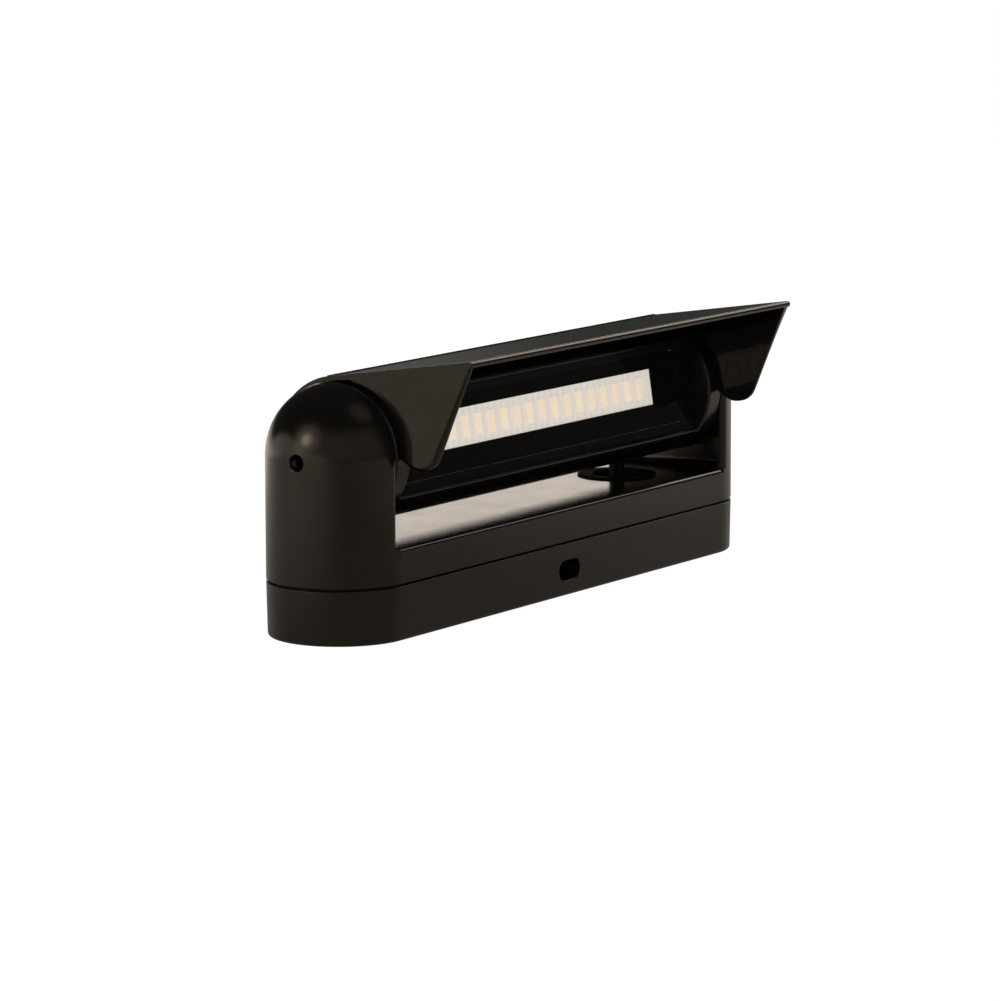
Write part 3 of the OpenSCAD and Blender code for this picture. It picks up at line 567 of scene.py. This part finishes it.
def leadRoute():
    # down from the head, round a bend and along the tray to the terminal block
    look = leadLook
    x, y, low, r = look["x"], look["y"], look["runHeight"], look["bendRadius"]
    route = [Vector((x, y, look["top"] - step * look["dropStep"]))
             for step in range(look["dropSteps"])]
    for step in range(look["bendSteps"] + 1):
        turn = math.radians(90 * step / look["bendSteps"])
        route.append(Vector((x - r + r * math.cos(turn), y, low + r - r * math.sin(turn))))
    first, last = x - r, look["blockX"] + look["straight"]
    for step in range(1, look["runSteps"] + 1):
        share = step / look["runSteps"]
        side = (1 - math.cos(math.pi * share)) / 2
        route.append(Vector((first + (last - first) * share,
                             y + (look["blockY"] - y) * side, low)))
    route.append(Vector((look["blockX"], look["blockY"], low)))
    return route


def makeLead():
    look = leadLook
    route = leadRoute()
    curve = bpy.data.curves.new("leadCurve", "CURVE")
    curve.dimensions = "3D"
    curve.bevel_depth = look["thickness"] / 2
    curve.bevel_resolution = look["roundness"]
    curve.use_fill_caps = True
    line = curve.splines.new("POLY")
    line.points.add(len(route) - 1)
    for point, place in zip(line.points, route):
        point.co = (*place, 1)
    piece = bpy.data.objects.new("leadCable", curve)
    bpy.context.scene.collection.objects.link(piece)
    selectOnly(piece)
    bpy.ops.object.convert(target="MESH")
    piece = bpy.context.active_object
    bpy.ops.object.shade_smooth_by_angle(angle=math.radians(50))
    piece.data.materials.clear()
    piece.data.materials.append(finishes["lead"])
    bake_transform(piece)
    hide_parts("head_lead")


makeLead()
print("lead made")


# Light-emitting packages

packageLook = {
    "width": 3.0 * mm, "height": 5.7 * mm, "depth": 0.7 * mm,
    "rim": 0.14 * mm, "rimSlope": 0.05 * mm, "cupDepth": 0.12 * mm,
    "dome": 0.16 * mm, "domeSunk": 0.14 * mm, "squareness": 4,
    "pitch": 6.3 * mm, "count": 18,
    "boardFront": 8.1 * mm, "windowRise": 1.2 * mm,  # from the tilt axis
}


def packageBody():
    look = packageLook
    bpy.ops.mesh.primitive_cube_add(size=1)
    piece = bpy.context.active_object
    piece.scale = (look["width"], look["depth"], look["height"])
    bpy.ops.object.transform_apply(location=False, rotation=False, scale=True)
    bpy.ops.object.mode_set(mode="EDIT")
    bpy.ops.mesh.select_mode(type="FACE")
    bpy.ops.mesh.select_all(action="DESELECT")
    work = bmesh.from_edit_mesh(piece.data)
    for face in work.faces:
        face.select = face.normal.y < -0.9
    bmesh.update_edit_mesh(piece.data)
    bpy.ops.mesh.inset(thickness=look["rim"], depth=0)
    bpy.ops.mesh.inset(thickness=look["rimSlope"], depth=-look["cupDepth"])
    bpy.ops.object.mode_set(mode="OBJECT")
    return piece


def gelDome():
    look = packageLook
    bpy.ops.mesh.primitive_uv_sphere_add(segments=16, ring_count=8, radius=0.5)
    piece = bpy.context.active_object
    wide, high = look["width"] - 2 * look["rim"], look["height"] - 2 * look["rim"]
    power = look["squareness"]
    piece.scale = (wide, 2 * look["dome"], high)
    bpy.ops.object.transform_apply(location=False, rotation=False, scale=True)
    for point in piece.data.vertices:
        # pushes the round outline towards the package's corners
        x, z = point.co.x / wide * 2, point.co.z / high * 2
        square = (abs(x) ** power + abs(z) ** power) ** (1 / power)
        if square > 0:
            point.co.x *= math.hypot(x, z) / square
            point.co.z *= math.hypot(x, z) / square
    for face in piece.data.polygons:
        face.use_smooth = True
    return piece


def placeCopies(pattern, name, first, finish, offset, replaced=()):
    look = packageLook
    copies = []
    for index in range(first, look["count"], 2):
        copy = pattern.copy()
        copy.data = pattern.data.copy()
        bpy.context.scene.collection.objects.link(copy)
        x = (index - (look["count"] - 1) / 2) * look["pitch"]
        copy.data.transform(Matrix.Translation(offset + Vector((x, 0, 0))))
        copies.append(copy)
    selectOnly(copies[0])
    for copy in copies:
        copy.select_set(True)
    bpy.ops.object.join()
    joined = bpy.context.active_object
    joined.name = name
    joined.data.transform(Matrix.Translation(tiltAxis)
                          @ Matrix.Rotation(math.radians(-headTilt), 4, "X"))
    return settle(joined, "head", finish, replaced)


def makePackages():
    look = packageLook
    body, dome = packageBody(), gelDome()
    bodyFront = look["boardFront"] + look["depth"] / 2
    domeFront = look["boardFront"] + look["depth"] - look["domeSunk"]
    bodyOffset = Vector((0, -bodyFront, look["windowRise"]))
    domeOffset = Vector((0, -domeFront, look["windowRise"]))
    for first, tone in enumerate(("pale", "amber")):
        slot, node = "phosphor_" + tone, "leds_" + tone
        placeCopies(body, tone + "Packages", first, "package", bodyOffset, (node,))
        placeCopies(dome, tone + "Domes", first, tone, domeOffset)
    for pattern in (body, dome):
        bpy.data.objects.remove(pattern)


makePackages()
print("packages placed")


# Camera, floor, world and lamps

cameraLook = {
    "place": (-1.04349, -0.68581, 0.22163),
    "yaw": 56.5538, "pitch": 8.9721, "roll": -0.1903, "lens": 165.61,  # degrees and millimetres
}


def makeCamera():
    look = cameraLook
    data = bpy.data.cameras.new("camera")
    camera = bpy.data.objects.new("camera", data)
    bpy.context.scene.collection.objects.link(camera)
    data.lens = look["lens"]
    data.clip_start = 0.05
    data.clip_end = 60
    turn = (Matrix.Rotation(math.radians(-look["yaw"]), 4, "Z")
            @ Matrix.Rotation(math.radians(90 - look["pitch"]), 4, "X")
            @ Matrix.Rotation(math.radians(look["roll"]), 4, "Z"))
    camera.matrix_world = Matrix.Translation(Vector(look["place"])) @ turn
    bpy.context.scene.camera = camera


backWay = (0.834, 0.551, 0)  # level directions, away from the camera and to its left
leftWay = (-0.551, 0.834, 0)


def along(recipe, direction, way):
    settings = {"operation": "DOT_PRODUCT"}
    return recipe.node("ShaderNodeVectorMath", settings, {0: direction, 1: way}, "Value")


floorLook = {
    "size": 8, "mottle": 0.2, "dark": 0.80, "light": 0.84,
    "white": 1.12, "whiteShare": 0.86,  # what the camera sees, the rest keeps the shadow
    # brightness of its mirror image, and metres between which each share comes in
    "level": 0.24,
    "behindPart": 0.12, "behindPartFrom": (-0.05, 0.10),
    "rightSide": 0.15, "rightSideFrom": (0.10, 0.22),
    "leftSide": 0.48, "leftSideFrom": (0.0, 0.30),
    "leftSideLoss": 0.55, "leftSideLossFrom": (-0.20, 0.05),
    "back": 0.05, "backFrom": (0.10, 0.25),
    "backLeft": 0.6, "backLeftFrom": (-0.05, 0.10),
    "nearTint": (1, 0.91, 0.82, 1), "farTint": (0.95, 0.97, 0.86, 1),
    "farLoss": 0.91, "farFrom": (0.70, 1.10), "farEndsAtLeft": (0.2, 0.5),
}


def makeFloor():
    # a white table that mirrors dimmer, and dark past its edge
    look = floorLook
    bpy.ops.mesh.primitive_plane_add(size=look["size"], location=(0, 0, 0))
    floor = bpy.context.active_object
    floor.name = "floor"
    recipe = newRecipe("paleFloor")
    mottle = recipe.noise(look["mottle"], detail=3)
    plain = recipe.node("ShaderNodeBsdfDiffuse", None, {
        "Color": recipe.mixColours(mottle, grey(look["dark"]), grey(look["light"]))})
    place = recipe.places()
    reach = recipe.node("ShaderNodeVectorMath", {"operation": "LENGTH"}, {0: place}, "Value")
    back = along(recipe, place, backWay)
    left = along(recipe, place, leftWay)
    loss = back.above(*look["leftSideLossFrom"]) * look["leftSideLoss"]
    beside = left.above(*look["leftSideFrom"]) * (1 - loss)
    level = look["level"] + back.above(*look["behindPartFrom"]) * look["behindPart"]
    level = level + (0 - left).above(*look["rightSideFrom"]) * look["rightSide"]
    backLeft = left.above(*look["backLeftFrom"]) * look["backLeft"]
    behind = back.above(*look["backFrom"]) * (look["back"] + backLeft)
    level = level + beside * look["leftSide"] + behind
    far = reach.above(*look["farFrom"]) * (1 - (left / reach).above(*look["farEndsAtLeft"]))
    dim = recipe.node("ShaderNodeEmission", None, {
        "Color": recipe.mixColours(far, look["nearTint"], look["farTint"]),
        "Strength": level * (1 - far * look["farLoss"])})
    white = recipe.node("ShaderNodeEmission", None, {"Color": grey(1), "Strength": look["white"]})
    glossy = recipe.node("ShaderNodeLightPath", output="Is Glossy Ray")
    through = recipe.node("ShaderNodeLightPath", output="Is Transmission Ray")
    seen = recipe.node("ShaderNodeLightPath", output="Is Camera Ray")
    mirror = glossy.orMore(through)
    shown = recipe.node("ShaderNodeMixShader", None, {0: mirror, 1: plain, 2: dim})
    shown = recipe.node("ShaderNodeMixShader", None, {
        0: seen * look["whiteShare"], 1: shown, 2: white})
    floor.data.materials.append(recipe.finish(shown))


studioLook = {
    "ambient": 0.45, "white": 1.02, "tint": (1, 0.90, 0.79, 1),
    # the surroundings that the gloss mirrors, with the sines of their heights and sides
    "dark": 0.03,
    "haze": 0.03, "hazeTop": (0.02, 0.09), "hazeSide": (0.5, 0.9),
    "band": 2.7, "bandFoot": (0.115, 0.135), "bandTop": (0.19, 0.25), "bandSide": (0.965, 0.985),
    "screen": 0.8, "screenTop": (0.02, 0.10), "screenSide": (0.2, 0.5),
    "screenRise": 0.32, "screenRiseSide": (0.75, 1.0),
    "hall": 0.25, "hallTop": (0.5, 0.8), "hallSide": (0.1, 0.5),
    "lamps": (  # way to each lamp, where its glow starts and is full, and its level
        ((-0.841, 0.357, 0.407), 0.90, 0.97, 0.6),
        ((-0.841, 0.357, 0.407), 0.985, 0.997, 4),
        ((0.165, -0.437, 0.884), 0.95, 0.99, 0.25),
        ((0.834, -0.10, 0.54), 0.93, 0.98, 2.5),
    ),
}


def makeWorld():
    # what the gloss mirrors: a low white backdrop behind, a lamp at the left, dark above
    look = studioLook
    world = bpy.data.worlds.new("studio")
    recipe = Recipe(world)
    kinds = ("Is Camera Ray", "Is Glossy Ray", "Is Transmission Ray")
    camera, glossy, through = (recipe.node("ShaderNodeLightPath", output=k) for k in kinds)
    direction = recipe.node("ShaderNodeTexCoord", output="Generated")
    height = recipe.node("ShaderNodeSeparateXYZ", None, {0: direction}, output="Z")
    back = along(recipe, direction, backWay)
    left = along(recipe, direction, leftWay)
    band = height.above(*look["bandFoot"]) * (1 - height.above(*look["bandTop"]))
    band = band * back.above(*look["bandSide"])
    rise = left.above(*look["screenRiseSide"]) * look["screenRise"]
    screen = (1 - (height - rise).above(*look["screenTop"])) * left.above(*look["screenSide"])
    hall = (0 - back).above(*look["hallSide"]) * (1 - height.above(*look["hallTop"]))
    haze = (1 - height.above(*look["hazeTop"])) * back.above(*look["hazeSide"])
    level = look["dark"] + haze * look["haze"] + band * look["band"]
    level = level + screen * look["screen"] + hall * look["hall"]
    for way, start, full, strength in look["lamps"]:
        level = level + along(recipe, direction, way).above(start, full) * strength
    ambient = recipe.node("ShaderNodeBackground", None, {
        "Color": grey(1), "Strength": look["ambient"]})
    mirrored = recipe.node("ShaderNodeBackground", None, {"Color": look["tint"], "Strength": level})
    white = recipe.node("ShaderNodeBackground", None, {"Color": grey(1), "Strength": look["white"]})
    mirror = glossy.orMore(through)
    shown = recipe.node("ShaderNodeMixShader", None, {0: mirror, 1: ambient, 2: mirrored})
    shown = recipe.node("ShaderNodeMixShader", None, {0: camera, 1: shown, 2: white})
    recipe.finish(shown)
    bpy.context.scene.world = world


# place, what it points at, size and power; none of them shows in the gloss
softboxes = {
    "overhead": ((-0.2, -0.3, 1.5), (0, 0, 0), (1.2, 1.2), 5),
    "frontLeft": ((-1.3, -1.1, 0.7), (0, 0, 0.04), (0.7, 0.9), 3),
    "frontLow": ((0.15, -1.3, 0.16), (0, 0, 0.04), (1.0, 0.25), 2),
}


def softbox(name, place, target, size, power):
    data = bpy.data.lights.new(name, "AREA")
    data.shape = "RECTANGLE"
    data.size, data.size_y = size
    data.energy = power
    lamp = bpy.data.objects.new(name, data)
    bpy.context.scene.collection.objects.link(lamp)
    lamp.location = place
    lamp.visible_glossy = False
    lamp.visible_transmission = False
    lamp.rotation_euler = (Vector(target) - Vector(place)).to_track_quat("-Z", "Y").to_euler()


makeCamera()
makeFloor()
makeWorld()
for name, settings in softboxes.items():
    softbox(name, *settings)
bpy.context.scene.view_settings.view_transform = "Standard"
print("studio set")
